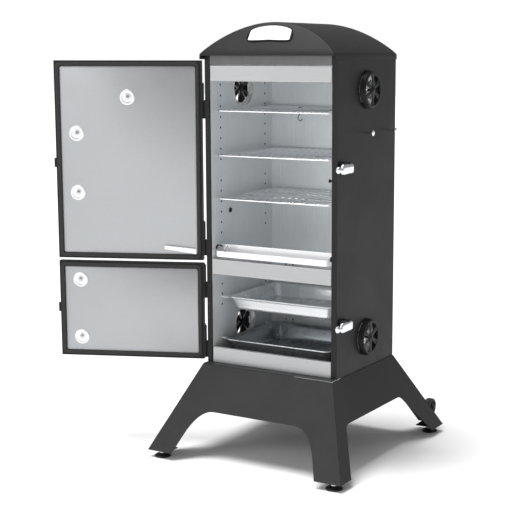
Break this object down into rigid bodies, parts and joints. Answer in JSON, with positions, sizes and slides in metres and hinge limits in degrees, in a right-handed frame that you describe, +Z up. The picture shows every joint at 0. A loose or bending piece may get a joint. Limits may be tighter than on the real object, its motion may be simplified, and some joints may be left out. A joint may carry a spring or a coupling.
{
  "type": "cabinet smoker",
  "caption": "Vertical cabinet smoker with a tall and a short door, wire racks, pans, turning air dampers, an arched roof and a splayed base.",
  "frame": {"origin": "centre of the whole object's plan, at rest with the doors open, on the floor", "axes": "+Z up, -Y towards the front, +X towards the latch side"},
  "size_m": [1.0014, 0.7418, 1.2985],
  "materials": {
    "badge": "satin plate, blank",
    "base_paint": "charcoal powder coat, fine texture",
    "black_paint": "black powder coat, fine texture",
    "bright_steel": "bright brushed stainless steel",
    "chrome": "polished chrome",
    "dark_steel": "dark steel",
    "dial": "bright bezel with a plain dial",
    "door_steel": "satin stainless steel",
    "gasket": "black woven seal",
    "liner_steel": "brushed sheet steel",
    "roof_paint": "black powder coat, fine texture",
    "rubber": "black rubber"
  },
  "bodies": {
    "cabinet": {"outer_shell": "black_paint", "inner_liner": "liner_steel", "roof_cap": "roof_paint", "badge_plate": "badge", "crossbar_top": "bright_steel", "crossbar_middle": "bright_steel", "crossbar_bottom": "bright_steel", "base_deck": "base_paint", "base_front": "base_paint", "base_rear": "base_paint", "base_left": "base_paint", "base_right": "base_paint", "wheel_bracket_left": "dark_steel", "wheel_bracket_right": "dark_steel", "damper_duct_upper_left": "bright_steel", "damper_duct_lower_left": "bright_steel", "damper_duct_upper_right": "bright_steel", "damper_duct_lower_right": "bright_steel", "tool_peg_front": "chrome", "tool_peg_rear": "chrome", "latch_bracket_upper": "chrome", "latch_bracket_lower": "chrome", "probe_port": "rubber", "rack_support_top": "chrome", "rack_support_middle": "chrome", "rack_support_bottom": "chrome", "hinge_upper_top": "black_paint", "hinge_upper_bottom": "black_paint", "hinge_lower_top": "black_paint", "hinge_lower_bottom": "black_paint"},
    "wheel_left": {"wheel_left": "rubber"},
    "foot_front_left": {"foot_front_left": "rubber"},
    "foot_rear_left": {"foot_rear_left": "rubber"},
    "damper_rotor_upper_left": {"damper_rotor_upper_left": "black_paint"},
    "damper_rotor_lower_left": {"damper_rotor_lower_left": "black_paint"},
    "wheel_right": {"wheel_right": "rubber"},
    "foot_front_right": {"foot_front_right": "rubber"},
    "foot_rear_right": {"foot_rear_right": "rubber"},
    "damper_rotor_upper_right": {"damper_rotor_upper_right": "black_paint"},
    "damper_rotor_lower_right": {"damper_rotor_lower_right": "black_paint"},
    "latch_handle_upper": {"latch_handle_upper": "chrome"},
    "latch_handle_lower": {"latch_handle_lower": "chrome"},
    "rack_top": {"rack_top": "chrome"},
    "rack_middle": {"rack_middle": "chrome"},
    "rack_bottom": {"rack_bottom": "chrome"},
    "meat_hook": {"meat_hook": "dark_steel"},
    "pan_upper": {"pan_upper": "bright_steel"},
    "pan_lower": {"pan_lower": "dark_steel"},
    "drip_trough": {"drip_trough": "bright_steel"},
    "upper_door": {"upper_door_skin": "black_paint", "upper_door_panel": "door_steel", "upper_door_gasket": "gasket", "upper_door_handle": "chrome", "upper_door_thermometer": "dial", "upper_door_gutter": "bright_steel"},
    "lower_door": {"lower_door_skin": "black_paint", "lower_door_panel": "door_steel", "lower_door_gasket": "gasket", "lower_door_handle": "chrome"}
  },
  "joints": [
    {"name": "upper_door_hinge", "type": "hinge", "parent": "cabinet", "child": "upper_door", "pos_m": [-0.06326, -0.19531, 0.888], "axis": [0, 0, -1], "range_deg": [-157.2, 15]},
    {"name": "lower_door_hinge", "type": "hinge", "parent": "cabinet", "child": "lower_door", "pos_m": [-0.06326, -0.19531, 0.43], "axis": [0, 0, -1], "range_deg": [-157.2, 15]},
    {"name": "damper_upper_left_turn", "type": "hinge", "parent": "cabinet", "child": "damper_rotor_upper_left", "pos_m": [-0.05726, -0.00781, 1.104], "axis": [1, 0, 0], "range_deg": [0, 30]},
    {"name": "damper_upper_right_turn", "type": "hinge", "parent": "cabinet", "child": "damper_rotor_upper_right", "pos_m": [0.39274, -0.00781, 1.104], "axis": [1, 0, 0], "range_deg": [0, 30]},
    {"name": "damper_lower_left_turn", "type": "hinge", "parent": "cabinet", "child": "damper_rotor_lower_left", "pos_m": [-0.05726, -0.00781, 0.367], "axis": [1, 0, 0], "range_deg": [0, 30]},
    {"name": "damper_lower_right_turn", "type": "hinge", "parent": "cabinet", "child": "damper_rotor_lower_right", "pos_m": [0.39274, -0.00781, 0.367], "axis": [1, 0, 0], "range_deg": [0, 30]},
    {"name": "latch_upper_turn", "type": "hinge", "parent": "cabinet", "child": "latch_handle_upper", "pos_m": [0.41274, -0.15781, 0.886], "axis": [0, 0, 1], "range_deg": [-5, 50]},
    {"name": "latch_lower_turn", "type": "hinge", "parent": "cabinet", "child": "latch_handle_lower", "pos_m": [0.41274, -0.15781, 0.43], "axis": [0, 0, 1], "range_deg": [-5, 50]},
    {"name": "rack_top_slide", "type": "slide", "parent": "cabinet", "child": "rack_top", "axis": [0, -1, 0], "range_m": [0, 0.28]},
    {"name": "rack_middle_slide", "type": "slide", "parent": "cabinet", "child": "rack_middle", "axis": [0, -1, 0], "range_m": [0, 0.28]},
    {"name": "rack_bottom_slide", "type": "slide", "parent": "cabinet", "child": "rack_bottom", "axis": [0, -1, 0], "range_m": [0, 0.28]},
    {"name": "pan_upper_slide", "type": "slide", "parent": "cabinet", "child": "pan_upper", "axis": [0, -1, 0], "range_m": [0, 0.25]},
    {"name": "pan_lower_lift", "type": "slide", "parent": "cabinet", "child": "pan_lower", "axis": [0, 0, 1], "range_m": [0, 0.06]},
    {"name": "drip_trough_slide", "type": "slide", "parent": "cabinet", "child": "drip_trough", "axis": [0, -1, 0], "range_m": [0, 0.08]},
    {"name": "meat_hook_swing", "type": "hinge", "parent": "rack_top", "child": "meat_hook", "pos_m": [0.16774, -0.01581, 1.045], "axis": [0, 1, 0], "range_deg": [-18, 18]},
    {"name": "wheel_left_spin", "type": "hinge", "parent": "cabinet", "child": "wheel_left", "pos_m": [-0.11326, 0.34319, 0.071], "axis": [1, 0, 0], "continuous": true},
    {"name": "foot_front_left_turn", "type": "hinge", "parent": "cabinet", "child": "foot_front_left", "pos_m": [-0.12926, -0.33481, 0.01], "axis": [0, 0, 1], "continuous": true},
    {"name": "foot_rear_left_turn", "type": "hinge", "parent": "cabinet", "child": "foot_rear_left", "pos_m": [-0.12926, 0.30919, 0.01], "axis": [0, 0, 1], "continuous": true},
    {"name": "wheel_right_spin", "type": "hinge", "parent": "cabinet", "child": "wheel_right", "pos_m": [0.44874, 0.34319, 0.071], "axis": [1, 0, 0], "continuous": true},
    {"name": "foot_front_right_turn", "type": "hinge", "parent": "cabinet", "child": "foot_front_right", "pos_m": [0.46474, -0.33481, 0.01], "axis": [0, 0, 1], "continuous": true},
    {"name": "foot_rear_right_turn", "type": "hinge", "parent": "cabinet", "child": "foot_rear_right", "pos_m": [0.46474, 0.30919, 0.01], "axis": [0, 0, 1], "continuous": true}
  ]
}
